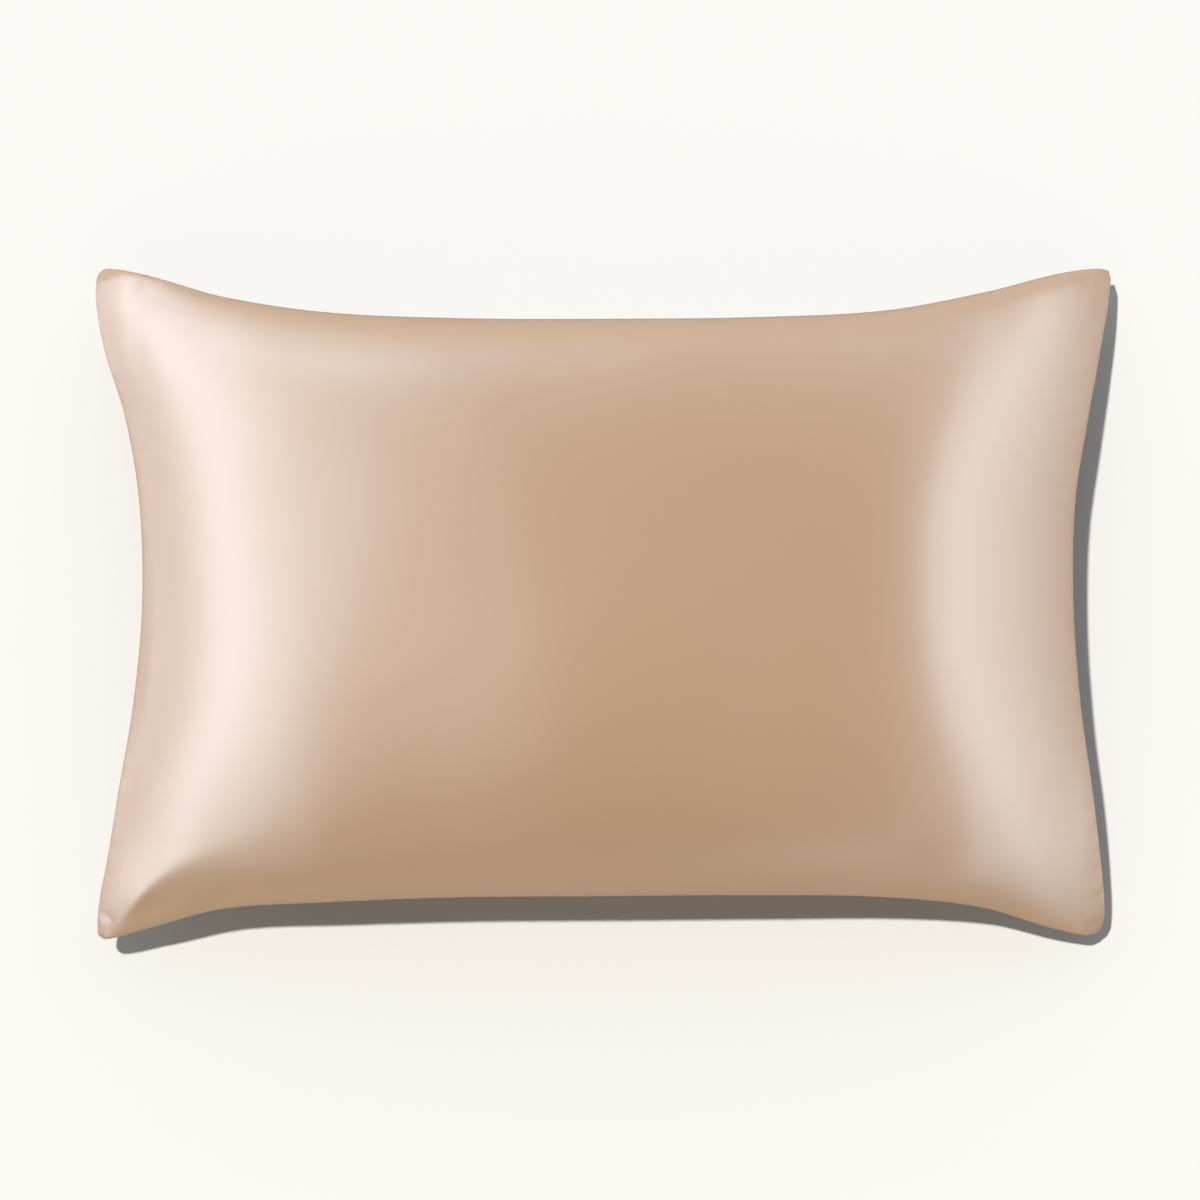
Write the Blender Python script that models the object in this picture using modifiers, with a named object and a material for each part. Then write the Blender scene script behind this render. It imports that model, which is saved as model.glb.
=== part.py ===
"""A filled satin pillowcase that lies on its back, front up.

Metres, +X along its length, +Y across its width and +Z up, with the origin on the floor under its
middle. The filled form is a box, cut into a grid, whose points are moved onto the pillow: each point
has a place (along, across, level) in the box, each from -1 to 1. The front panel is that form as one
solid. The back panel is a sheet on the form's underside, from seam to seam and up to its hem.
"""

import bisect
import math

import bmesh
import bpy

# The filled case, in metres.
TIP_LENGTH = 0.750  # over the corner tips, along X
TIP_WIDTH = 0.496  # over the corner tips, along Y
THICKNESS = 0.178  # crown to floor, before the swells
SEAM_HEIGHT = 0.080  # of the seam over the floor, at the middle of each side

# How much lower the seam lies at each corner tip, by the sign of its place along and across.
TIP_DROPS = {(-1, 1): 0.039, (1, 1): 0.045, (-1, -1): 0.032, (1, -1): 0.052}
TIP_POWER = 3.0  # a higher power keeps the drop closer to the tip

# How the filling rounds the form along its length and across its width: a higher power gives a flatter
# crown, and a lower rounding gives steeper sides.
LENGTH_POWER = 2.50
WIDTH_POWER = 2.70
LEFT_ROUNDING, RIGHT_ROUNDING = 0.90, 0.95
BOTTOM_ROUNDING, TOP_ROUNDING = 0.73, 0.46
# How much each corner adds to the rounding of its end, and of its top or bottom side.
CORNER_ROUNDINGS = {
    (-1, 1): (0.19, -0.22),
    (1, 1): (0.04, -0.18),
    (-1, -1): (0.02, -0.22),
    (1, -1): (0.18, -0.30),
}
SAG = 0.104  # depth of the underside below its seam, before the floor presses it flat
FLOOR_TURN = 0.008  # height over which the pressed patch turns up into the free underside

# The turned seam round the rim.
RIM_RISE = 0.0012  # from the seam line up to the front cloth
LIP_DROP = 0.0006  # from the seam line down to where the front cloth turns in
RIM_FALL = 0.0028  # from the seam line down to the outside of the back cloth

# The back cloth.
CLOTH = 0.0015
HEM_CLOTH = 0.0024  # the hem is folded twice
PANEL_GAP = 0.0003
HEM_EDGE = -0.955  # place of the hem's edge along the box, by the left end
HEM_STITCH = -0.900  # place of the hem's stitched inner edge
STEP = 0.004  # share of the box over which a thickness steps

# The grid that the form is cut into.
LENGTH_CELLS = 40
WIDTH_CELLS = 28
CLOSER_TO_RIM = 0.9  # 0 spaces the cuts evenly, 1 crowds them most towards the rim
LEAST_CELL = 0.006  # of the box, between an evenly graded cut and one that a hem needs

# How far each side is drawn in, in millimetres, at places along it from -1 (left or bottom) to 1.
SIDE_BOWS = (
    # place, top, bottom, left, right
    (-1.00, 0.0, 0.0, 1.1, 5.3),
    (-0.90, 6.2, 8.7, 2.6, 5.3),
    (-0.75, 22.3, 23.5, 10.0, 9.7),
    (-0.55, 34.0, 28.7, 18.7, 16.4),
    (-0.30, 38.6, 32.5, 29.5, 25.5),
    (0.00, 39.2, 33.6, 36.2, 30.9),
    (0.30, 37.9, 34.2, 34.0, 29.4),
    (0.55, 32.8, 32.6, 23.4, 19.4),
    (0.75, 18.7, 24.6, 7.6, 9.7),
    (0.90, 4.2, 7.9, 0.2, 2.6),
    (1.00, 0.0, 1.0, 0.4, 0.0),
)
TOP, BOTTOM, LEFT, RIGHT = 1, 2, 3, 4

# Radius of each corner's turn, by the sign of its place along and across.
CORNER_RADII = {(-1, 1): 0.008, (1, 1): 0.009, (-1, -1): 0.007, (1, -1): 0.016}
ARC_PULL = 1 - math.sqrt(0.5)  # share of the radius by which an arc's middle lies inside its corner
ARC_FADE = 1.7  # power that makes the pull fade along the sides as a circle does

# Soft folds on the front: points of the crest or trough, in metres. A negative rise is a trough.
FOLDS = {
    # name: ((x, y, rise, half width), ...)
    "lower_left_crease": (
        (-0.360, -0.239, 0.0034, 0.010),
        (-0.343, -0.218, 0.0040, 0.013),
        (-0.320, -0.198, 0.0042, 0.018),
        (-0.283, -0.184, 0.0036, 0.028),
        (-0.220, -0.174, 0.0018, 0.032),
    ),
    "lower_left_hollow": (
        (-0.345, -0.232, -0.0016, 0.010),
        (-0.305, -0.214, -0.0019, 0.018),
        (-0.250, -0.206, -0.0002, 0.020),
    ),
    "top_hollow": (
        (-0.350, 0.238, 0.0000, 0.016),
        (-0.315, 0.222, -0.0030, 0.024),
        (-0.250, 0.203, -0.0045, 0.030),
        (-0.150, 0.190, -0.0040, 0.032),
        (0.050, 0.188, -0.0025, 0.032),
        (0.200, 0.190, -0.0030, 0.032),
        (0.280, 0.205, -0.0020, 0.030),
        (0.330, 0.222, 0.0000, 0.024),
    ),
    "upper_left_tuck": (
        (-0.372, 0.243, -0.0040, 0.008),
        (-0.352, 0.243, 0.0000, 0.008),
    ),
    "left_end_dip": (
        (-0.352, 0.205, 0.0000, 0.014),
        (-0.344, 0.180, -0.0010, 0.016),
        (-0.330, 0.140, 0.0000, 0.020),
    ),
}

# Soft swells and dips of the filling under the front, in metres.
SWELL_RADIUS = 0.070
SWELLS = (
    # x, y, rise
    (-0.290, -0.090, 0.0014),
    (-0.290, -0.030, 0.0016),
    (-0.207, -0.090, 0.0014),
    (-0.207, 0.030, -0.0011),
    (-0.207, 0.090, -0.0032),
    (-0.207, 0.150, 0.0019),
    (-0.124, -0.150, -0.0017),
    (-0.124, -0.090, -0.0014),
    (-0.124, 0.030, -0.0017),
    (-0.124, 0.150, 0.0018),
    (-0.041, -0.090, 0.0024),
    (-0.041, -0.030, 0.0007),
    (0.041, -0.030, 0.0014),
    (0.041, 0.090, -0.0030),
    (0.041, 0.150, 0.0018),
    (0.124, -0.090, -0.0039),
    (0.124, -0.030, -0.0020),
    (0.124, 0.030, -0.0030),
    (0.124, 0.090, -0.0022),
    (0.207, -0.150, -0.0012),
    (0.290, -0.150, 0.0007),
)

SATIN = (0.515, 0.350, 0.230)  # champagne
SATIN_ROUGHNESS = 0.36


def clear_scene():
    for thing in list(bpy.data.objects):
        bpy.data.objects.remove(thing, do_unlink=True)


def satin(name, shade):
    material = bpy.data.materials.new(name)
    material.use_nodes = True
    surface = material.node_tree.nodes["Principled BSDF"]
    surface.inputs["Base Color"].default_value = [shade * c for c in SATIN] + [1]
    surface.inputs["Roughness"].default_value = SATIN_ROUGHNESS
    surface.inputs["Metallic"].default_value = 0
    return material


def bow(side, place):
    """How far in, in metres, the side lies at this place: a smooth curve through its column."""
    places = [row[0] for row in SIDE_BOWS]
    depths = [row[side] for row in SIDE_BOWS]
    last = len(places) - 1
    i = min(max(bisect.bisect_right(places, place) - 1, 0), last - 1)

    def slope(k):
        if k in (0, last):
            return 0.0
        return (depths[k + 1] - depths[k - 1]) / (places[k + 1] - places[k - 1])

    span = places[i + 1] - places[i]
    t = (place - places[i]) / span
    depth = (
        (2 * t**3 - 3 * t**2 + 1) * depths[i]
        + (t**3 - 2 * t**2 + t) * span * slope(i)
        + (3 * t**2 - 2 * t**3) * depths[i + 1]
        + (t**3 - t**2) * span * slope(i + 1)
    )
    return depth / 1000


def plan_point(along, across):
    """(x, y) of a place in the box: between its drawn-in sides, and pulled in at a rounded corner."""
    left = -TIP_LENGTH / 2 + bow(LEFT, across)
    right = TIP_LENGTH / 2 - bow(RIGHT, across)
    bottom = -TIP_WIDTH / 2 + bow(BOTTOM, along)
    top = TIP_WIDTH / 2 - bow(TOP, along)
    x = left + (right - left) * (1 + along) / 2
    y = bottom + (top - bottom) * (1 + across) / 2

    x_sign, y_sign = (1 if along > 0 else -1), (1 if across > 0 else -1)
    radius = CORNER_RADII[x_sign, y_sign]
    pull = ARC_PULL * radius
    for from_side in ((1 - abs(along)) * TIP_LENGTH / 2, (1 - abs(across)) * TIP_WIDTH / 2):
        pull *= max(0.0, 1 - from_side / radius) ** ARC_FADE
    return x - x_sign * pull, y - y_sign * pull


def seam_height(along, across):
    drop = TIP_DROPS[1 if along > 0 else -1, 1 if across > 0 else -1]
    return SEAM_HEIGHT - drop * abs(along * across) ** TIP_POWER


def fullness(along, across):
    """Share of the full depth that the filling gives the form here: 0 at the seam, 1 in the middle."""
    corner = 1 if along > 0 else -1, 1 if across > 0 else -1
    at_end, at_side = CORNER_ROUNDINGS[corner]
    end = (LEFT_ROUNDING if along < 0 else RIGHT_ROUNDING) + at_end * abs(across) ** 3
    side = (BOTTOM_ROUNDING if across < 0 else TOP_ROUNDING) + at_side * abs(along) ** 3
    lengthwise = max(0.0, 1 - abs(along) ** LENGTH_POWER) ** end
    crosswise = max(0.0, 1 - abs(across) ** WIDTH_POWER) ** side
    return lengthwise * crosswise


def smooth(t):
    t = min(max(t, 0.0), 1.0)
    return t * t * (3 - 2 * t)


def fold_rise(x, y, fold):
    """Height that one fold adds at (x, y): its crest's rise there, faded to its sides."""
    nearest = None
    for (x0, y0, rise0, half0), (x1, y1, rise1, half1) in zip(fold, fold[1:]):
        run_x, run_y = x1 - x0, y1 - y0
        t = ((x - x0) * run_x + (y - y0) * run_y) / (run_x**2 + run_y**2)
        t = min(max(t, 0.0), 1.0)
        away = math.hypot(x - x0 - t * run_x, y - y0 - t * run_y)
        if nearest is None or away < nearest[0]:
            nearest = (away, rise0 + t * (rise1 - rise0), half0 + t * (half1 - half0))
    away, rise, half_width = nearest
    return rise * math.exp(-((away / half_width) ** 2))


def swell_rise(x, y):
    return sum(
        rise * math.exp(-((x - x0) ** 2 + (y - y0) ** 2) / SWELL_RADIUS**2) for x0, y0, rise in SWELLS
    )


def settled(height):
    """Height of the underside once the floor has pressed what would lie below it flat."""
    if height <= -FLOOR_TURN:
        return 0.0
    if height >= FLOOR_TURN:
        return height
    return (height + FLOOR_TURN) ** 2 / (4 * FLOOR_TURN)


def form_point(along, across, level):
    """The point of the filled form at a place of the box's surface."""
    x, y = plan_point(along, across)
    seam = seam_height(along, across)
    full = fullness(along, across)
    if level > 0:
        crown = THICKNESS - SEAM_HEIGHT - RIM_RISE
        folds = sum(fold_rise(x, y, fold) for fold in FOLDS.values())
        inside = smooth(full / 0.12)  # folds and swells die out at the seam itself
        return x, y, seam + RIM_RISE + crown * full + inside * (folds + swell_rise(x, y))
    if level < 0:
        return x, y, settled(seam - RIM_FALL - SAG * full)
    return x, y, seam - LIP_DROP


def graded_cuts(cells):
    """Places from -1 to 1, closer together towards both ends, without the ends themselves."""
    steps = [-1 + 2 * i / cells for i in range(1, cells)]
    return [
        (1 - CLOSER_TO_RIM) * step + CLOSER_TO_RIM * math.sin(step * math.pi / 2) for step in steps
    ]


def length_cuts():
    """The graded cuts, with those that the hem needs in place of any that lie too close to them."""
    hem = [HEM_EDGE - STEP, HEM_EDGE, HEM_STITCH, HEM_STITCH + STEP]
    free = [c for c in graded_cuts(LENGTH_CELLS) if min(abs(c - h) for h in hem) > LEAST_CELL]
    return sorted(free + hem)


def cut_box():
    """A box from -1 to 1, cut into the grid, with one more cut round its rim."""
    box = bmesh.new()
    bmesh.ops.create_cube(box, size=2)
    cuts = (
        ((1, 0, 0), length_cuts()),
        ((0, 1, 0), graded_cuts(WIDTH_CELLS)),
        ((0, 0, 1), [0.0]),
    )
    for normal, places in cuts:
        for place in places:
            bmesh.ops.bisect_plane(
                box,
                geom=box.verts[:] + box.edges[:] + box.faces[:],
                plane_co=[place * axis for axis in normal],
                plane_no=normal,
                dist=1e-6,
            )
    return box


def filled_form():
    """The form as a triangulated mesh, and the place in the box of each of its points."""
    form = cut_box()
    form.verts.index_update()
    places = [tuple(vert.co) for vert in form.verts]
    for vert, place in zip(form.verts, places):
        vert.co = form_point(*place)
    bmesh.ops.triangulate(form, faces=form.faces[:], quad_method="SHORT_EDGE")
    bmesh.ops.recalc_face_normals(form, faces=form.faces[:])
    form.normal_update()
    return form, places


def is_underside(face, places):
    return all(places[vert.index][2] < -0.5 for vert in face.verts)


def push_in(form, places, depth_at):
    """Moves the underside's points into the form, square to it, by depth_at(place along)."""
    moves = []
    for vert in form.verts:
        under = [face for face in vert.link_faces if is_underside(face, places)]
        if under:
            out = sum((face.normal * face.calc_area() for face in under), vert.normal * 0)
            moves.append((vert, -out.normalized() * depth_at(places[vert.index][0])))
    for vert, move in moves:
        vert.co += move


def add_object(name, form, material, collection):
    mesh = bpy.data.meshes.new(name)
    form.to_mesh(mesh)
    form.free()
    mesh.materials.append(material)
    mesh.shade_smooth()
    thing = bpy.data.objects.new(name, mesh)
    collection.objects.link(thing)
    return thing


def front_panel(collection):
    """The front cloth and the filled form below it, hollowed by a cloth's depth for the back panel."""

    def depth_at(along):
        under_back = smooth((along - HEM_EDGE + STEP) / STEP)
        return (CLOTH + PANEL_GAP) * under_back

    form, places = filled_form()
    push_in(form, places, depth_at)
    return add_object("front_panel", form, satin("satin_front", 1.0), collection)


def back_panel(collection):
    """The back cloth: the form's underside from the hem on, as a sheet that is thicker at its hem."""
    form, places = filled_form()
    push_in(form, places, lambda along: CLOTH)
    beyond = [
        face
        for face in form.faces
        if not is_underside(face, places)
        or any(places[vert.index][0] < HEM_EDGE - STEP / 2 for vert in face.verts)
    ]
    weights = [1.0 if place[0] < HEM_STITCH + STEP / 2 else CLOTH / HEM_CLOTH for place in places]
    layer = form.verts.layers.deform.verify()
    for vert in form.verts:
        vert[layer][0] = weights[vert.index]
    bmesh.ops.delete(form, geom=beyond, context="FACES")
    panel = add_object("back_panel", form, satin("satin_back", 0.96), collection)
    panel.vertex_groups.new(name="cloth_share")
    sheet = panel.modifiers.new("sheet", "SOLIDIFY")
    sheet.thickness = HEM_CLOTH
    sheet.offset = 1
    sheet.use_even_offset = True
    sheet.vertex_group = "cloth_share"
    return panel


def main():
    clear_scene()
    collection = bpy.data.collections.new("satin_pillowcase")
    bpy.context.scene.collection.children.link(collection)
    front_panel(collection)
    back_panel(collection)


main()
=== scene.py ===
"""Looks of the filled satin pillowcase: cloth surfaces, satin, hem stitching, stage, light and camera.

Metres, in the frame's own axes: +X along the length, +Y across the width, +Z up. A point of either panel
has a place (along, across), each from -1 to 1: from the left end to the right, from the bottom to the top.
"""

import math

import bpy
import numpy as np
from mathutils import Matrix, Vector


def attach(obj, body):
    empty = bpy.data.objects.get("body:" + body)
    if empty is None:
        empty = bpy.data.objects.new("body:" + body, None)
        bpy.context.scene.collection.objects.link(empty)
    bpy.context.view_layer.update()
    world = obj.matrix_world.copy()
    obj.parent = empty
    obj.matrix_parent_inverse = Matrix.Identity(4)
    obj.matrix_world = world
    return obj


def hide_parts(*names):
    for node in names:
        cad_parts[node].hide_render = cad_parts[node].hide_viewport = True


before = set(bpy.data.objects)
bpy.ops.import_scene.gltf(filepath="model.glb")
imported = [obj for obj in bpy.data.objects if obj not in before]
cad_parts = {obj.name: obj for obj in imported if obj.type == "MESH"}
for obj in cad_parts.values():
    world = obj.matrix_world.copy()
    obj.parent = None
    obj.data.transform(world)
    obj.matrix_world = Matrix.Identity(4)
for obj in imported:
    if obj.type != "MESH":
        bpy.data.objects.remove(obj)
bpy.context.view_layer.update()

# ---------------------------------------------------------------- sizes of the filled case, in metres
TIP_LENGTH = 0.750
TIP_WIDTH = 0.496
THICKNESS = 0.178  # crown to floor, before the swells
SEAM_HEIGHT = 0.080
TIP_DROPS = {(-1, 1): 0.039, (1, 1): 0.045, (-1, -1): 0.032, (1, -1): 0.052}
TIP_POWER = 3.0
LENGTH_POWER = 2.50
WIDTH_POWER = 2.70
LEFT_ROUNDING, RIGHT_ROUNDING = 0.90, 0.95
BOTTOM_ROUNDING, TOP_ROUNDING = 0.73, 0.46
# How much each corner adds to the rounding of its end, and of its top or bottom side.
CORNER_ROUNDINGS = {
    (-1, 1): (0.19, -0.22),
    (1, 1): (0.04, -0.18),
    (-1, -1): (0.02, -0.22),
    (1, -1): (0.18, -0.30),
}
SAG = 0.104
FLOOR_TURN = 0.008
RIM_RISE = 0.0012
RIM_FALL = 0.0028
CLOTH = 0.0015
HEM_CLOTH = 0.0024
PANEL_GAP = 0.0003
HEM_EDGE = -0.955
HEM_STITCH = -0.900
HEM_EASE = 0.004

# How far each side is drawn in, in millimetres, at places along it from -1 (left or bottom) to 1.
SIDE_BOWS = np.array(
    (
        # place, top, bottom, left, right
        (-1.00, 0.0, 0.0, 1.1, 5.3),
        (-0.90, 6.2, 8.7, 2.6, 5.3),
        (-0.75, 22.3, 23.5, 10.0, 9.7),
        (-0.55, 34.0, 28.7, 18.7, 16.4),
        (-0.30, 38.6, 32.5, 29.5, 25.5),
        (0.00, 39.2, 33.6, 36.2, 30.9),
        (0.30, 37.9, 34.2, 34.0, 29.4),
        (0.55, 32.8, 32.6, 23.4, 19.4),
        (0.75, 18.7, 24.6, 7.6, 9.7),
        (0.90, 4.2, 7.9, 0.2, 2.6),
        (1.00, 0.0, 1.0, 0.4, 0.0),
    )
)
TOP, BOTTOM, LEFT, RIGHT = 1, 2, 3, 4
CORNER_RADII = {(-1, 1): 0.008, (1, 1): 0.009, (-1, -1): 0.007, (1, -1): 0.016}
ARC_PULL = 1 - math.sqrt(0.5)
ARC_FADE = 1.7

# Folds of the front cloth: points of each crest (rise above 0) or trough (below 0), in metres. A small edge
# makes the crest sharp, a large one round.
FOLDS = {
    # name: ((x, y, rise, half width, edge), ...)
    "lower_left_crease": (
        (-0.360, -0.239, 0.0034, 0.0100, 0.0024),
        (-0.343, -0.218, 0.0040, 0.0130, 0.0024),
        (-0.320, -0.198, 0.0042, 0.0180, 0.0048),
        (-0.283, -0.184, 0.0036, 0.0280, 0.0120),
        (-0.220, -0.174, 0.0018, 0.0322, 0.0299),
    ),
    "lower_left_hollow": (
        (-0.345, -0.232, -0.0016, 0.0096, 0.0102),
        (-0.305, -0.214, -0.0019, 0.0176, 0.0160),
        (-0.250, -0.206, -0.0002, 0.0191, 0.0198),
    ),
    "lower_left_puckers": (
        (-0.3735, -0.2250, -0.0030, 0.0020, 0.0010),
        (-0.3640, -0.2330, -0.0022, 0.0022, 0.0012),
        (-0.3665, -0.2415, -0.0035, 0.0022, 0.0012),
    ),
    "top_hollow": (
        (-0.350, 0.238, 0.0000, 0.016, 0.010),
        (-0.315, 0.222, -0.0030, 0.024, 0.016),
        (-0.250, 0.203, -0.0045, 0.030, 0.020),
        (-0.150, 0.190, -0.0040, 0.032, 0.020),
        (0.050, 0.188, -0.0025, 0.032, 0.020),
        (0.200, 0.190, -0.0030, 0.032, 0.020),
        (0.280, 0.205, -0.0020, 0.030, 0.020),
        (0.330, 0.222, 0.0000, 0.024, 0.020),
    ),
    "left_end_dip": (
        (-0.352, 0.205, 0.0000, 0.014, 0.014),
        (-0.344, 0.180, -0.0010, 0.016, 0.016),
        (-0.330, 0.140, 0.0000, 0.020, 0.020),
    ),
}

FOLD_STEPS = 6  # pieces of the curve between two points of a fold
FOLD_FADE = 0.12  # fullness over which folds and swells grow from nothing at the seam

# Soft swells and dips of the filling under the front, in metres.
SWELLS = (
    # x, y, rise, radius
    (-0.290, -0.090, 0.0014, 0.070),
    (-0.290, -0.030, 0.0016, 0.070),
    (-0.207, -0.090, 0.0014, 0.070),
    (-0.207, 0.030, -0.0011, 0.070),
    (-0.207, 0.090, -0.0032, 0.070),
    (-0.207, 0.150, 0.0019, 0.070),
    (-0.124, -0.150, -0.0017, 0.070),
    (-0.124, -0.090, -0.0014, 0.070),
    (-0.124, 0.030, -0.0017, 0.070),
    (-0.124, 0.150, 0.0018, 0.070),
    (-0.041, -0.090, 0.0024, 0.070),
    (-0.041, -0.030, 0.0007, 0.070),
    (0.041, -0.030, 0.0014, 0.070),
    (0.041, 0.090, -0.0030, 0.070),
    (0.041, 0.150, 0.0018, 0.070),
    (0.124, -0.090, -0.0039, 0.070),
    (0.124, -0.030, -0.0020, 0.070),
    (0.124, 0.030, -0.0030, 0.070),
    (0.124, 0.090, -0.0022, 0.070),
    (0.207, -0.150, -0.0012, 0.070),
    (0.290, -0.150, 0.0007, 0.070),
    (-0.360, -0.234, 0.0013, 0.026),
    (-0.337, -0.232, -0.0012, 0.026),
    (-0.302, -0.226, -0.0018, 0.036),
    (-0.350, -0.176, -0.0007, 0.036),
    (-0.337, 0.232, -0.0016, 0.026),
    (-0.350, 0.176, 0.0012, 0.036),
    (-0.262, 0.211, 0.0012, 0.036),
    (0.262, -0.211, 0.0029, 0.036),
    (0.327, -0.156, -0.0011, 0.036),
    (0.360, 0.234, 0.0005, 0.026),
)

# Corner tips that bend at a crease: beyond its line, on the left of it, both panels rise at this slope.
BENT_TIPS = {
    # name: ((start x, y), (end x, y), slope, softness)
    "upper_left_tip": ((-0.3760, 0.2366), (-0.3570, 0.2440), -0.80, 0.0008),
}

# ---------------------------------------------------------------- fineness, seams and stitching, in metres
LENGTH_CELLS = 240
WIDTH_CELLS = 160
FLAT_CLOTH = "flat_cloth"  # the UV map: metres along the threads from the middle of the panel
SEAM_DISTANCE = "seam_distance"  # metres of cloth from the nearest edge of the panel

# The front's rolled rim: how far below the top of the rim, and how far out of it in plan.
SEAM_ROLL = ((0.0007, 0.00025), (0.0016, 0.00030), (0.0024, -0.00010), (0.0031, -0.00080))
FOLD_ROLL = ((0.0007, 0.00025), (0.0016, 0.00030), (0.0024, 0.00030), (0.0031, 0.00020))
BACK_ROLL = 0.0011  # how far the back panel's rim turns in at the seam
BACK_ROLL_REACH = 0.0012
HEM_FOLD = 0.0020  # over which the hem's step eases out

PUCKER_LENGTHS = (0.0173, 0.0112, 0.0247)
PUCKER_STARTS = {"top": 0.3, "bottom": 1.9, "left": 3.7, "right": 5.2}  # radians
PUCKER_REACH = 0.011
PUCKER_CLEAR = 0.003
FRONT_PUCKER = 0.00022
BACK_PUCKER = 0.00060

STITCH_PITCH = 0.0030
STITCH_LENGTH = 0.0024
STITCH_WIDTH = 0.0005
STITCH_ROW = -0.907
STITCH_SINK = 0.00005
STITCH_SLANT = 0.06  # radians, either way at most
STITCH_END = 0.004  # of bare hem at each end of the row
STITCH_SEED = 7

# ---------------------------------------------------------------- camera: the photo is 1200 pixels square
PHOTO_SIDE = 1200
METRES_PER_PIXEL = 0.735294e-3
CASE_CENTRE_PIXEL = (604.2, 603.6)
LENS_MM = 200
SENSOR_MM = 36
FOCUS_HEIGHT = 0.070  # the height at which the scale above holds

# ---------------------------------------------------------------- colours, linear, and light
CHAMPAGNE = (0.520, 0.343, 0.218)
CHAMPAGNE_DEEP = (0.483, 0.310, 0.192)
SATIN_IOR = 2.2  # the satin mirrors more than bare silk would
THREAD_COLOUR = (0.500, 0.335, 0.215)
FLOOR_HALF = 25.0
FLOOR_COLOUR = (0.451, 0.460, 0.469)
FLOOR_IN_SATIN = (0.205, 0.184, 0.173)  # the floor as the satin mirrors it
PALE = 0.95  # the backdrop far beyond the floor

# What the satin mirrors: brightness of the studio by degrees from overhead, left below 0 and right above.
LUSTRE = (
    (-82, 2.20),
    (-74, 1.73),
    (-67, 2.03),
    (-60, 3.60),
    (-54, 4.40),
    (-47, 3.40),
    (-40, 2.63),
    (-32, 1.53),
    (-22, 0.93),
    (-11, 0.87),
    (0, 0.00),
    (41, 0.37),
    (48, 3.30),
    (56, 2.43),
    (65, 1.83),
    (74, 1.03),
    (82, 0.70),
)
# Its share at the same angles from overhead, towards the photo's bottom below 0 and its top above.
LEFT_FADE = ((-80, 0.11), (-60, 0.38), (-30, 0.85), (30, 0.97), (60, 0.99), (80, 0.56))
MIDDLE_FADE = ((-80, 0.18), (-60, 0.05), (-30, 0.40), (30, 0.72), (60, 0.82), (80, 1.11))
RIGHT_FADE = ((-80, 0.34), (-60, 0.68), (-30, 0.98), (30, 0.95), (60, 0.83), (80, 0.35))
MIDDLE_HALF = (15, 35)  # degrees over which the middle's share gives way to those of the sides
LUSTRE_TINT = (0.821, 0.958, 1.109)

# Matt light: brightness of the walls on two sides, cool by the photo's top and warm by its bottom, and
# the lamp that casts the shadow, with its tilt, heading and spread in degrees.
WALLS = {"top": 1.665, "bottom": 1.03}
TOP_WALL_COLOUR = (0.890, 1.0, 1.170)
BOTTOM_WALL_COLOUR = (1.125, 1.0, 0.815)
WHITE = (1.0, 1.0, 1.0)
LAMP_POWER = 2.2
FLOOR_LAMP_POWER = 2.9  # a second lamp in the same place lights only the floor
FLOOR_LAMP_COLOUR = (1.09, 1.0, 0.84)
LAMP_TILT = 19
LAMP_HEADING = 127
LAMP_SPREAD = 2

# The weave, in metres on the flat cloth.
THREAD_PITCH = 0.00036
FLOAT_LENGTH = 8 * THREAD_PITCH
FLOAT_STEP = 0.375  # by which each thread's floats start further along than its neighbour's
WEAVE_HEIGHT = 0.00002
SEAM_SHADE_REACH = 0.004  # of cloth beside the seam over which the satin is darkened: painted shade in the seam's groove
THREAD_TWIST = 3500  # radians per metre of sewing thread


# ================================================================ the form of the case
def bow(side, place):
    """How far in, in metres, the side lies at each place: a smooth curve through its column."""
    places, depths = SIDE_BOWS[:, 0], SIDE_BOWS[:, side]
    slopes = np.zeros(len(places))
    slopes[1:-1] = (depths[2:] - depths[:-2]) / (places[2:] - places[:-2])
    i = np.clip(np.searchsorted(places, place, side="right") - 1, 0, len(places) - 2)
    span = places[i + 1] - places[i]
    t = (place - places[i]) / span
    depth = (
        (2 * t**3 - 3 * t**2 + 1) * depths[i]
        + (t**3 - 2 * t**2 + t) * span * slopes[i]
        + (3 * t**2 - 2 * t**3) * depths[i + 1]
        + (t**3 - t**2) * span * slopes[i + 1]
    )
    return depth / 1000


def plan(along, across):
    """(x, y) of each place: between its drawn-in sides, and pulled in at a rounded corner."""
    left = -TIP_LENGTH / 2 + bow(LEFT, across)
    right = TIP_LENGTH / 2 - bow(RIGHT, across)
    bottom = -TIP_WIDTH / 2 + bow(BOTTOM, along)
    top = TIP_WIDTH / 2 - bow(TOP, along)
    x = left + (right - left) * (1 + along) / 2
    y = bottom + (top - bottom) * (1 + across) / 2
    for (x_sign, y_sign), radius in CORNER_RADII.items():
        pull = ARC_PULL * radius
        for place, sign, half in ((along, x_sign, TIP_LENGTH / 2), (across, y_sign, TIP_WIDTH / 2)):
            from_side = (1 - sign * place) * half
            pull = pull * np.maximum(0, 1 - from_side / radius) ** ARC_FADE
        x = x - x_sign * pull
        y = y - y_sign * pull
    return x, y


def seam_height(along, across):
    height = np.full(np.shape(along), SEAM_HEIGHT)
    for (x_sign, y_sign), drop in TIP_DROPS.items():
        reach = np.maximum(0, x_sign * along) * np.maximum(0, y_sign * across)
        height -= drop * reach**TIP_POWER
    return height


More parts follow.
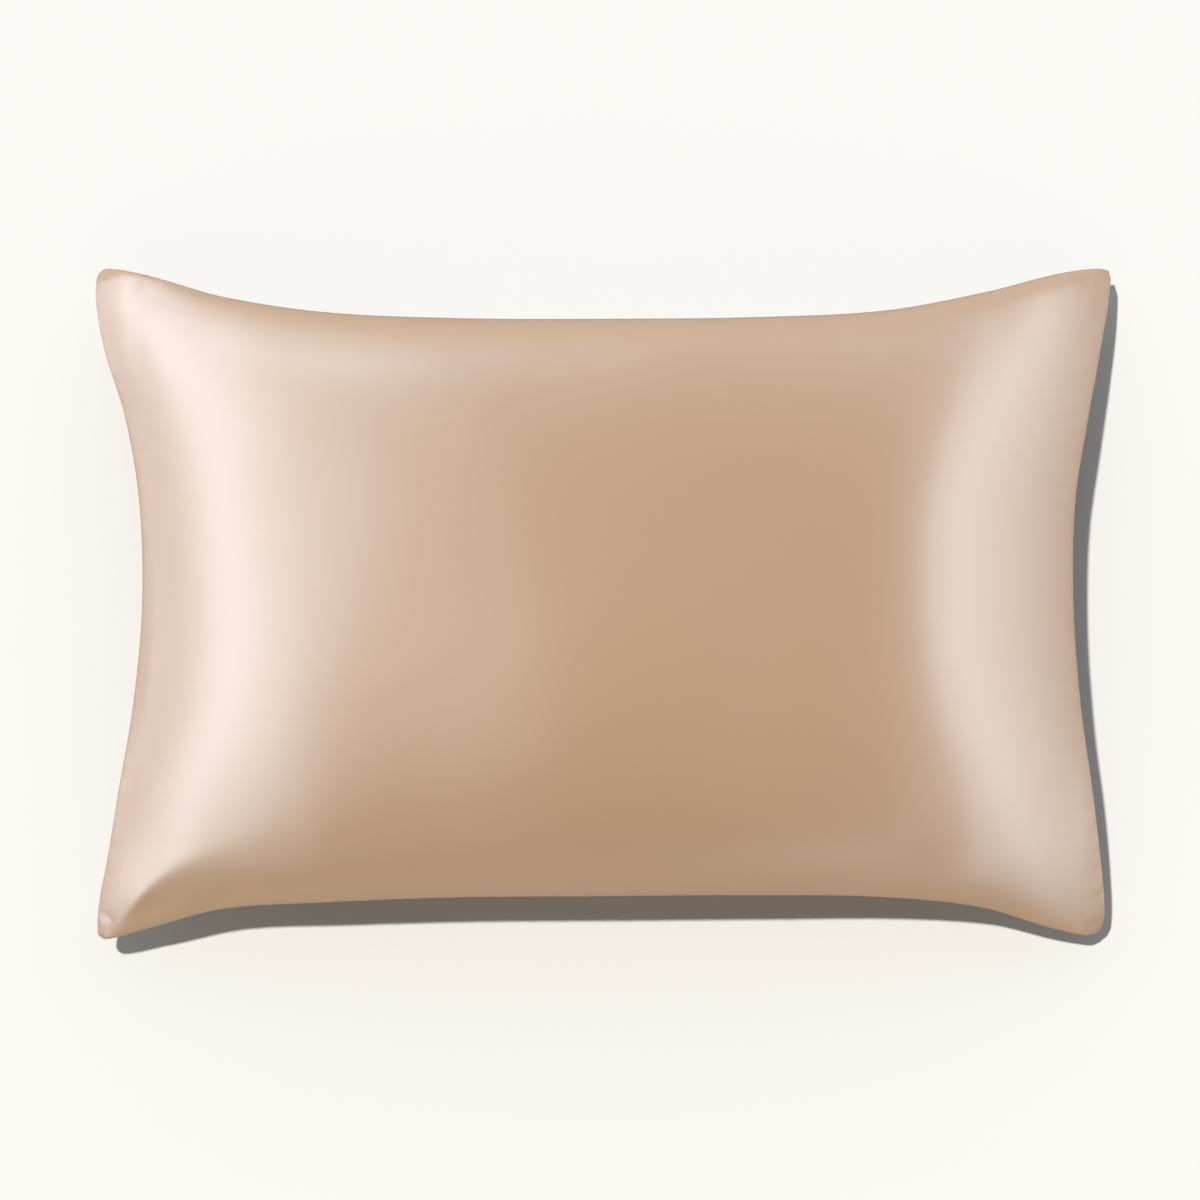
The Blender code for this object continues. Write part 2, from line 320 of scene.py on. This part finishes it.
def fullness(along, across):
    """Share of the full depth that the filling gives the form: 0 at the seam, 1 in the middle."""
    end = np.where(along < 0, LEFT_ROUNDING, RIGHT_ROUNDING)
    side = np.where(across < 0, BOTTOM_ROUNDING, TOP_ROUNDING)
    for (x_sign, y_sign), (at_end, at_side) in CORNER_ROUNDINGS.items():
        here = (x_sign * along > 0) & (y_sign * across > 0)
        end = end + here * at_end * np.abs(across) ** 3
        side = side + here * at_side * np.abs(along) ** 3
    lengthwise = np.maximum(1 - np.abs(along) ** LENGTH_POWER, 0)
    crosswise = np.maximum(1 - np.abs(across) ** WIDTH_POWER, 0)
    return lengthwise**end * crosswise**side


def smooth(t):
    t = np.clip(t, 0, 1)
    return t * t * (3 - 2 * t)


def rounded(fold):
    """The points of a fold, with more of them on a smooth curve between each two."""
    fold = np.array(fold)
    ends = np.concatenate([2 * fold[:1] - fold[1:2], fold, 2 * fold[-1:] - fold[-2:-1]])
    steps = np.arange(FOLD_STEPS)[:, None] / FOLD_STEPS
    parts = [
        b + steps / 2 * (c - a + steps * (2 * a - 5 * b + 4 * c - d + steps * (3 * (b - c) + d - a)))
        for a, b, c, d in zip(ends, ends[1:], ends[2:], ends[3:])
    ]
    return np.concatenate([*parts, fold[-1:]])


def fold_rise(x, y, fold):
    """Height that one fold adds at each point: its crest's rise, faded to its sides."""
    nearest = np.full(np.shape(x), np.inf)
    rise = np.zeros(np.shape(x))
    for (x0, y0, *start), (x1, y1, *end) in zip(fold, fold[1:]):
        run_x, run_y = x1 - x0, y1 - y0
        t = np.clip(((x - x0) * run_x + (y - y0) * run_y) / (run_x**2 + run_y**2), 0, 1)
        away = np.hypot(x - x0 - t * run_x, y - y0 - t * run_y)
        crest, half, edge = (a + t * (b - a) for a, b in zip(start, end))
        here = crest * np.exp((edge - np.hypot(away, edge)) / half * (1 + edge / half))
        rise = np.where(away < nearest, here, rise)
        nearest = np.minimum(nearest, away)
    return rise


def tip_rise(x, y, start, end, slope, softness):
    """Height that a bent tip adds at each point, from the line between start and end outwards."""
    run = np.subtract(end, start) / math.dist(start, end)
    beyond = (y - start[1]) * run[0] - (x - start[0]) * run[1]
    return slope * (beyond + np.hypot(beyond, softness)) / 2


def bent(x, y):
    return sum(tip_rise(x, y, *tip) for tip in BENT_TIPS.values())


def settled(height):
    """Height of the underside once the floor has flattened what would lie below it."""
    turn = (height + FLOOR_TURN) ** 2 / (4 * FLOOR_TURN)
    return np.where(height <= -FLOOR_TURN, 0, np.where(height >= FLOOR_TURN, height, turn))


def front_points(along, across):
    x, y = plan(along, across)
    full = fullness(along, across)
    crown = THICKNESS - SEAM_HEIGHT - RIM_RISE
    folds = sum(fold_rise(x, y, rounded(fold)) for fold in FOLDS.values())
    folds += sum(rise * np.exp(-((x - x0) ** 2 + (y - y0) ** 2) / r**2) for x0, y0, rise, r in SWELLS)
    z = seam_height(along, across) + bent(x, y) + RIM_RISE + crown * full + smooth(full / FOLD_FADE) * folds
    return np.stack([x, y, z], axis=-1)


def back_points(along, across):
    x, y = plan(along, across)
    z = settled(seam_height(along, across) + bent(x, y) - RIM_FALL - SAG * fullness(along, across))
    return np.stack([x, y, z], axis=-1)


# ================================================================ cloth surfaces
def graded(cells, first=-1.0):
    """cells + 1 places from first to 1, closer together towards both ends."""
    places = np.sin(np.linspace(-math.pi / 2, math.pi / 2, cells + 1))
    return first + (places + 1) * (1 - first) / 2


def lengths_along(points):
    """Length of cloth from each row's first point to every point of that row."""
    steps = np.linalg.norm(np.diff(points, axis=1), axis=-1)
    return np.concatenate([np.zeros((len(points), 1)), np.cumsum(steps, axis=1)], axis=1)


class Surface:
    """A grid of points on one panel: rows run right, and follow each other towards the top.

    Each point has its upward normal and its distances along the cloth from the panel's four edges.
    """

    def __init__(self, shape, first=-1.0):
        self.along, self.across = np.meshgrid(graded(LENGTH_CELLS, first), graded(WIDTH_CELLS))
        self.points = shape(self.along, self.across)
        normals = np.cross(np.gradient(self.points, axis=1), np.gradient(self.points, axis=0))
        self.normals = normals / np.linalg.norm(normals, axis=-1, keepdims=True)
        self.from_left = lengths_along(self.points)
        self.from_right = self.from_left[:, -1:] - self.from_left
        self.from_bottom = lengths_along(self.points.swapaxes(0, 1)).T
        self.from_top = self.from_bottom[-1:, :] - self.from_bottom

    def cloth(self):
        """Each point's place on the flat cloth from its middle, and its distance from the nearest edge."""
        edges = (self.from_left, self.from_right, self.from_bottom, self.from_top)
        places = (self.from_left - self.from_right) / 2, (self.from_bottom - self.from_top) / 2
        return np.stack([*places, np.minimum.reduce(edges)], axis=-1)

    def raise_by(self, height):
        """Moves every point up along its normal, or down where height is below 0."""
        self.points = self.points + height[..., None] * self.normals

    def pucker(self):
        """Small gathers that the sewing leaves beside the seams, from -1 to 1."""
        sides = (
            (self.from_top, self.from_left, PUCKER_STARTS["top"]),
            (self.from_bottom, self.from_left, PUCKER_STARTS["bottom"]),
            (self.from_left, self.from_bottom, PUCKER_STARTS["left"]),
            (self.from_right, self.from_bottom, PUCKER_STARTS["right"]),
        )
        height = np.zeros(self.along.shape)
        for from_seam, run, start in sides:
            near = np.exp(-from_seam / PUCKER_REACH) * smooth(from_seam / PUCKER_CLEAR)
            for number, length in enumerate(PUCKER_LENGTHS, 1):
                height += near * np.sin(2 * math.pi * run / length + start * number) / len(PUCKER_LENGTHS)
        return height


# ================================================================ meshes
def add_object(name, data):
    made = bpy.data.objects.new(name, data)
    bpy.context.scene.collection.objects.link(made)
    return made


class ClothMesh:
    """A mesh put together from grids and rings of points, each with its place on the flat cloth."""

    def __init__(self):
        self.points, self.cloth, self.faces = [], [], []

    def add(self, points, cloth):
        """Adds a grid or a ring of points and returns their numbers in the same layout."""
        first = len(self.points)
        self.points.extend(points.reshape(-1, 3).tolist())
        self.cloth.extend(cloth.reshape(-1, 3).tolist())
        return np.arange(first, len(self.points)).reshape(points.shape[:-1])

    def skin(self, numbers, upward=True):
        """Adds the quads of a grid, facing up, or down where upward is False."""
        quads = [numbers[:-1, :-1], numbers[:-1, 1:], numbers[1:, 1:], numbers[1:, :-1]]
        quads = np.stack(quads if upward else quads[::-1], axis=-1)
        self.faces.extend(quads.reshape(-1, 4).tolist())

    def join(self, upper, lower):
        """Adds the band of quads between two rings that run anticlockwise, the first above the second."""
        quads = np.stack([upper, lower, np.roll(lower, -1), np.roll(upper, -1)], axis=-1)
        self.faces.extend(quads.tolist())

    def piece(self, name, material):
        mesh = bpy.data.meshes.new(name)
        mesh.from_pydata(self.points, [], self.faces)
        cloth = np.array(self.cloth, dtype=np.float32)
        corners = np.empty(len(mesh.loops), dtype=np.int32)
        mesh.loops.foreach_get("vertex_index", corners)
        mesh.uv_layers.new(name=FLAT_CLOTH).data.foreach_set("uv", cloth[corners, :2].ravel())
        mesh.attributes.new(SEAM_DISTANCE, "FLOAT", "POINT").data.foreach_set("value", cloth[:, 2].copy())
        mesh.polygons.foreach_set("use_smooth", np.ones(len(mesh.polygons), dtype=bool))
        mesh.materials.append(material)
        return add_object(name, mesh)


def rim(grid):
    """The rim of a grid as one ring, anticlockwise from its lower left corner."""
    return np.concatenate([grid[0, :-1], grid[:-1, -1], grid[-1, :0:-1], grid[:0:-1, 0]])


def outward(ring):
    """Unit directions in plan that point out of an anticlockwise ring of points."""
    run = np.roll(ring, -1, axis=0) - np.roll(ring, 1, axis=0)
    out = np.stack([run[:, 1], -run[:, 0], np.zeros(len(ring))], axis=-1)
    return out / np.linalg.norm(out, axis=-1, keepdims=True)


# ================================================================ the two panels
def front_cloth(satin):
    """The front panel over its filled form: a closed body.

    Its rim rolls over into the seam, and at the left end, where the case opens, it folds under instead.
    """
    top, under = Surface(front_points), Surface(back_points)
    top.raise_by(FRONT_PUCKER * top.pucker())
    under.raise_by((CLOTH + PANEL_GAP) * smooth((under.along - HEM_EDGE + HEM_EASE) / HEM_EASE))
    mesh = ClothMesh()
    top_numbers = mesh.add(top.points, top.cloth())
    under_numbers = mesh.add(under.points, under.cloth())
    mesh.skin(top_numbers)
    mesh.skin(under_numbers, upward=False)
    ring, out = rim(top.points), outward(rim(top.points))
    sewn = smooth((rim(top.along) - HEM_EDGE + HEM_EASE) / HEM_EASE)[:, None]
    above = rim(top_numbers)
    for (drop, bulge), (_, fold_bulge) in zip(SEAM_ROLL, FOLD_ROLL):
        points = ring + (fold_bulge + (bulge - fold_bulge) * sewn) * out - np.array((0, 0, drop))
        below = mesh.add(points, rim(top.cloth()))
        mesh.join(above, below)
        above = below
    mesh.join(above, rim(under_numbers))
    return mesh.piece("front_cloth", satin)


def back_surface():
    """The back panel's outer face, with its rolled seams, its gathers and the step of its hem."""
    back = Surface(back_points, HEM_EDGE)
    from_seam = np.minimum.reduce((back.from_top, back.from_bottom, back.from_right))
    hem = 1 - smooth((back.along - HEM_STITCH) * TIP_LENGTH / 2 / HEM_FOLD)
    raised = BACK_ROLL * np.exp(-from_seam / BACK_ROLL_REACH) - BACK_PUCKER * back.pucker()
    back.raise_by(raised - (HEM_CLOTH - CLOTH) * hem)
    back.points[..., 2] = np.maximum(back.points[..., 2], 0)
    return back


def back_cloth(back, satin):
    """The back panel: a sheet on the underside, which ends in its hem across the opening."""
    inner = Surface(back_points, HEM_EDGE)
    inner.raise_by(np.full(inner.along.shape, CLOTH))
    mesh = ClothMesh()
    inner_numbers = mesh.add(inner.points, back.cloth())
    outer_numbers = mesh.add(back.points, back.cloth())
    mesh.skin(inner_numbers)
    mesh.skin(outer_numbers, upward=False)
    mesh.join(rim(inner_numbers), rim(outer_numbers))
    return mesh.piece("back_cloth", satin)


# ================================================================ node trees
class Value:
    """An output socket of a node tree. Arithmetic on it adds Math nodes."""

    def __init__(self, nodes, socket):
        self.nodes = nodes
        self.socket = socket

    def math(self, operation, *operands):
        kind = "ShaderNodeMath"
        return self.nodes.add(kind, {"operation": operation}, dict(enumerate(operands)))

    def __add__(self, other):
        return self.math("ADD", self, other)

    def __sub__(self, other):
        return self.math("SUBTRACT", self, other)

    def __rsub__(self, other):
        return self.math("SUBTRACT", other, self)

    def __mul__(self, other):
        return self.math("MULTIPLY", self, other)

    def __truediv__(self, other):
        return self.math("DIVIDE", self, other)

    def __pow__(self, other):
        return self.math("POWER", self, other)

    __radd__ = __add__
    __rmul__ = __mul__

    def fraction(self):
        return self.math("FRACT", self)

    def floor(self):
        return self.math("FLOOR", self)

    def at_least(self, least):
        return self.math("MAXIMUM", self, least)

    def between(self, start, end):
        """0 up to start and 1 from end on, with an even rise between them; start may be the larger."""
        inputs = {"Value": self, "From Min": start, "From Max": end}
        return self.nodes.add("ShaderNodeMapRange", inputs=inputs)

    def ramp(self, start, end):
        """0 up to start and 1 from end on, with a smooth rise between them; start may be the larger."""
        settings = {"interpolation_type": "SMOOTHSTEP"}
        inputs = {"Value": self, "From Min": start, "From Max": end}
        return self.nodes.add("ShaderNodeMapRange", settings, inputs)


class Nodes:
    """Adds nodes to one tree."""

    def __init__(self, tree):
        self.tree = tree

    def add(self, kind, settings=None, inputs=None, output=0):
        """Adds a node, sets its settings, then its sockets, and returns one of its outputs."""
        node = self.tree.nodes.new(kind)
        for name, value in (settings or {}).items():
            setattr(node, name, value)
        self.fill(node, inputs or {})
        return Value(self, node.outputs[output]) if node.outputs else node

    def fill(self, node, inputs):
        """Links or sets a node's sockets, each by its name or number."""
        for name, value in inputs.items():
            if isinstance(value, Value):
                self.tree.links.new(value.socket, node.inputs[name])
            else:
                node.inputs[name].default_value = value

    def others(self, value):
        """The other outputs of the node that a value comes from, by name."""
        return {s.name: Value(self, s) for s in value.socket.node.outputs}

    def curve(self, angle, points):
        """A smooth curve through (degrees, height) points of an angle in radians, level beyond its ends."""
        low, high = points[0][0], points[-1][0]
        top = max(height for _, height in points)
        inputs = {"Value": (angle * (180 / math.pi) - low) / (high - low)}
        height = self.add("ShaderNodeFloatCurve", inputs=inputs)
        mapping = height.socket.node.mapping
        handles = mapping.curves[0].points
        for _ in points[2:]:
            handles.new(0.5, 0.5)
        for handle, (degrees, level) in zip(handles, points):
            handle.location = ((degrees - low) / (high - low), level / top)
            handle.handle_type = "AUTO_CLAMPED"
        mapping.update()
        return height * top

    def mix(self, share, first, second):
        """A colour between two, each an (r, g, b) or a colour output."""
        colours = (colour if isinstance(colour, Value) else (*colour, 1) for colour in (first, second))
        inputs = {"Factor": share, **dict(zip((6, 7), colours))}
        return self.add("ShaderNodeMix", {"data_type": "RGBA"}, inputs, output=2)

    def split(self, vector):
        """The x, y and z of a vector."""
        x = self.add("ShaderNodeSeparateXYZ", inputs={"Vector": vector})
        return (Value(self, s) for s in x.socket.node.outputs)


def new_material(name):
    """A material with only its Principled shader: (material, its nodes, the shader)."""
    material = bpy.data.materials.new(name)
    material.use_nodes = True
    return material, Nodes(material.node_tree), material.node_tree.nodes["Principled BSDF"]


# ================================================================ materials
def satin_material():
    """Champagne satin: long floating threads side by side, fine streaks, painted shade beside the seams and a
    soft, clear lustre.
    """
    material, nodes, shader = new_material("champagne_satin")
    flat = nodes.add("ShaderNodeUVMap", {"uv_map": FLAT_CLOTH})
    along, across, _ = nodes.split(flat)

    row = (across / THREAD_PITCH).floor()
    beside = (across / THREAD_PITCH).fraction() * 2 - 1
    before = (along / FLOAT_LENGTH + row * FLOAT_STEP).fraction() * 2 - 1
    weave = (1 - beside**2) * (1 - before**4)

    def noise(x_scale, y_scale, detail):
        stretched = nodes.add(
            "ShaderNodeVectorMath", {"operation": "MULTIPLY"}, {0: flat, 1: (x_scale, y_scale, 1)}
        )
        return nodes.add("ShaderNodeTexNoise", inputs={"Vector": stretched, "Scale": 1, "Detail": detail})

    streaks = noise(30, 900, 2)
    clouds = noise(9, 9, 2)
    # painted shade: the satin's colour is made deeper close beside the seam, standing in for the shade in the
    # seam's groove
    seam = nodes.add("ShaderNodeAttribute", {"attribute_name": SEAM_DISTANCE}, output=2)
    painted_seam_shade = seam.ramp(SEAM_SHADE_REACH, 0.0)
    depth = streaks * 0.5 + clouds * 0.5 + painted_seam_shade * 0.6 - 0.2
    shade = nodes.mix(depth, CHAMPAGNE, CHAMPAGNE_DEEP)
    relief = weave * WEAVE_HEIGHT + streaks * (WEAVE_HEIGHT * 2)
    bump = nodes.add("ShaderNodeBump", inputs={"Height": relief, "Distance": 1.0, "Strength": 0.5})
    nodes.fill(
        shader,
        {
            "Base Color": shade,
            "Roughness": 0.20 + streaks * 0.04,
            "IOR": SATIN_IOR,
            "Normal": bump,
        },
    )
    return material


def thread_material():
    """The sewing thread: two plies twisted round each other."""
    material, nodes, shader = new_material("sewing_thread")
    place = nodes.add("ShaderNodeTexCoord", output=3)
    x, y, z = nodes.split(place)
    angle = (x + y) * THREAD_TWIST + z * THREAD_TWIST
    twist = angle.math("SINE", angle)
    shade = nodes.mix(twist * 0.25 + 0.5, THREAD_COLOUR, CHAMPAGNE_DEEP)
    bump = nodes.add("ShaderNodeBump", inputs={"Height": twist, "Distance": 0.00005})
    nodes.fill(shader, {"Base Color": shade, "Roughness": 0.45, "Normal": bump})
    return material


def floor_material():
    """A pale floor, matt to the eye. The satin next to it mirrors it as lightly glossy."""
    material, nodes, matt = new_material("pale_floor")
    nodes.fill(matt, {"Base Color": (*FLOOR_COLOUR, 1), "Roughness": 1.0, "Specular IOR Level": 0.0})
    gloss = material.node_tree.nodes.new("ShaderNodeBsdfPrincipled")
    nodes.fill(gloss, {"Base Color": (*FLOOR_IN_SATIN, 1), "Roughness": 0.15, "IOR": 1.5})
    rays = nodes.others(nodes.add("ShaderNodeLightPath"))
    mix = nodes.add("ShaderNodeMixShader", inputs={0: rays["Is Glossy Ray"]})
    for number, shader in enumerate((matt, gloss), 1):
        nodes.tree.links.new(shader.outputs[0], mix.socket.node.inputs[number])
    nodes.tree.links.new(mix.socket, material.node_tree.nodes["Material Output"].inputs["Surface"])
    return material


# ================================================================ the hem's stitching
def stitch_tree(thread):
    """Geometry nodes that lay one rounded stitch at every pitch along an edge path."""
    tree = bpy.data.node_groups.new("row_of_stitches", "GeometryNodeTree")
    tree.interface.new_socket("Geometry", in_out="OUTPUT", socket_type="NodeSocketGeometry")
    tree.interface.new_socket("Path", in_out="INPUT", socket_type="NodeSocketGeometry")
    sizes = {"Pitch": STITCH_PITCH, "Length": STITCH_LENGTH, "Width": STITCH_WIDTH}
    sockets = {
        name: tree.interface.new_socket(name, in_out="INPUT", socket_type="NodeSocketFloat") for name in sizes
    }
    nodes = Nodes(tree)
    given = nodes.others(nodes.add("NodeGroupInput"))
    curve = nodes.add("GeometryNodeMeshToCurve", inputs={"Mesh": given["Path"]})
    path = nodes.add(
        "GeometryNodeResampleCurve", {"mode": "LENGTH"}, {"Curve": curve, "Length": given["Pitch"]}
    )
    scale = nodes.add(
        "ShaderNodeCombineXYZ",
        inputs={"X": given["Length"] * 0.5, "Y": given["Width"] * 0.5, "Z": given["Width"] * 0.5},
    )
    ball = nodes.add("GeometryNodeMeshUVSphere", inputs={"Segments": 10, "Rings": 6, "Radius": 1.0})
    stitch = nodes.add("GeometryNodeTransform", inputs={"Geometry": ball, "Scale": scale})
    tangent = nodes.add("GeometryNodeInputTangent")
    turn = nodes.add("FunctionNodeAlignRotationToVector", {"axis": "X"}, {"Vector": tangent})
    slants = {2: -STITCH_SLANT, 3: STITCH_SLANT, "Seed": STITCH_SEED}
    wander = nodes.add("FunctionNodeRandomValue", {"data_type": "FLOAT"}, slants, output=1)
    slant = nodes.add("ShaderNodeCombineXYZ", inputs={"Z": wander})
    slant = nodes.add("FunctionNodeEulerToRotation", inputs={"Euler": slant})
    turn = nodes.add("FunctionNodeRotateRotation", {"rotation_space": "LOCAL"}, {0: turn, 1: slant})
    laid = nodes.add(
        "GeometryNodeInstanceOnPoints", inputs={"Points": path, "Instance": stitch, "Rotation": turn}
    )
    real = nodes.add("GeometryNodeRealizeInstances", inputs={"Geometry": laid})
    round_off = nodes.add("GeometryNodeSetShadeSmooth", inputs={"Geometry": real})
    sewn = nodes.add("GeometryNodeSetMaterial", inputs={"Geometry": round_off, "Material": thread})
    nodes.add("NodeGroupOutput", inputs={"Geometry": sewn})
    return tree, {sockets[name].identifier: size for name, size in sizes.items()}


def hem_stitches(back, thread):
    """One row of stitches that holds the hem, from seam to seam across the back panel."""
    column = int(np.argmin(np.abs(back.along[0] - STITCH_ROW)))
    row = (back.points + STITCH_SINK * back.normals)[:, column]
    row = row[(back.from_bottom[:, column] > STITCH_END) & (back.from_top[:, column] > STITCH_END)]
    path = bpy.data.meshes.new("hem_path")
    path.from_pydata(row.tolist(), [(k, k + 1) for k in range(len(row) - 1)], [])
    host = add_object("hem_path", path)
    tree, sizes = stitch_tree(thread)
    modifier = host.modifiers.new("stitches", "NODES")
    modifier.node_group = tree
    for identifier, size in sizes.items():
        modifier[identifier] = size
    seen = host.evaluated_get(bpy.context.evaluated_depsgraph_get())
    mesh = bpy.data.meshes.new_from_object(seen)
    bpy.data.objects.remove(host)
    return add_object("hem_stitches", mesh)


# ================================================================ stage, light and camera
def lay_floor():
    corners = [(x * FLOOR_HALF, y * FLOOR_HALF, 0) for x, y in ((-1, -1), (1, -1), (1, 1), (-1, 1))]
    mesh = bpy.data.meshes.new("floor")
    mesh.from_pydata(corners, [], [(0, 1, 2, 3)])
    mesh.materials.append(floor_material())
    floor = add_object("floor", mesh)
    return floor


def light_studio(floor):
    """Bright strips to both sides that only the satin mirrors, soft walls of light, and one lamp."""
    world = bpy.data.worlds.new("studio")
    bpy.context.scene.world = world
    world.use_nodes = True
    world.cycles.sampling_method = "NONE"
    nodes = Nodes(world.node_tree)
    x, y, z = nodes.split(nodes.add("ShaderNodeTexCoord"))
    up = z.at_least(0.01)
    sideways, upward = x.math("ARCTAN2", x, up), y.math("ARCTAN2", y, up)
    inner, outer = (math.radians(angle) for angle in MIDDLE_HALF)
    on_left, on_right = sideways.between(-inner, -outer), sideways.between(inner, outer)
    fade = (
        nodes.curve(upward, LEFT_FADE) * on_left
        + nodes.curve(upward, MIDDLE_FADE) * (1 - on_left - on_right)
        + nodes.curve(upward, RIGHT_FADE) * on_right
    )
    lustre = nodes.curve(sideways, LUSTRE) * fade
    walls = y.at_least(0) * WALLS["top"] + (y * -1).at_least(0) * WALLS["bottom"]
    rays = nodes.others(nodes.add("ShaderNodeLightPath"))
    camera, glossy = rays["Is Camera Ray"], rays["Is Glossy Ray"]
    colour = nodes.mix(y.math("GREATER_THAN", y, 0), BOTTOM_WALL_COLOUR, TOP_WALL_COLOUR)
    colour = nodes.mix(camera, nodes.mix(glossy, colour, LUSTRE_TINT), WHITE)
    strength = camera * PALE + glossy * lustre + (1 - camera) * (1 - glossy) * walls
    nodes.fill(world.node_tree.nodes["Background"], {"Color": colour, "Strength": strength})
    hang_lamp("lamp", LAMP_POWER, WHITE)
    only_floor = bpy.data.collections.new("lit_by_floor_lamp")
    only_floor.objects.link(floor)
    floor_lamp = hang_lamp("floor_lamp", FLOOR_LAMP_POWER, FLOOR_LAMP_COLOUR)
    floor_lamp.light_linking.receiver_collection = only_floor


def hang_lamp(name, power, colour):
    sun = bpy.data.lights.new(name, "SUN")
    sun.energy = power
    sun.color = colour
    sun.angle = math.radians(LAMP_SPREAD)
    lamp = add_object(name, sun)
    tilt, heading = math.radians(LAMP_TILT), math.radians(LAMP_HEADING)
    towards = (math.sin(tilt) * math.cos(heading), math.sin(tilt) * math.sin(heading), math.cos(tilt))
    lamp.rotation_euler = Vector(towards).to_track_quat("Z", "Y").to_euler()
    lamp.visible_glossy = False
    return lamp


def place_camera():
    """The photo's view: straight down, with the case's middle at the same pixel."""
    lens = bpy.data.cameras.new("camera")
    lens.lens, lens.sensor_width = LENS_MM, SENSOR_MM
    camera = add_object("camera", lens)
    distance = PHOTO_SIDE * METRES_PER_PIXEL * LENS_MM / SENSOR_MM
    camera.location = (
        (PHOTO_SIDE / 2 - CASE_CENTRE_PIXEL[0]) * METRES_PER_PIXEL,
        (CASE_CENTRE_PIXEL[1] - PHOTO_SIDE / 2) * METRES_PER_PIXEL,
        FOCUS_HEIGHT + distance,
    )
    bpy.context.scene.camera = camera
    bpy.context.scene.view_settings.view_transform = "Standard"


def main():
    satin, thread = satin_material(), thread_material()
    back = back_surface()
    front_piece = front_cloth(satin)
    back_piece = back_cloth(back, satin)
    stitches = hem_stitches(back, thread)
    for piece in (front_piece, back_piece, stitches):
        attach(piece, "root")
    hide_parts("front_panel")
    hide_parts("back_panel")
    light_studio(lay_floor())
    place_camera()


main()
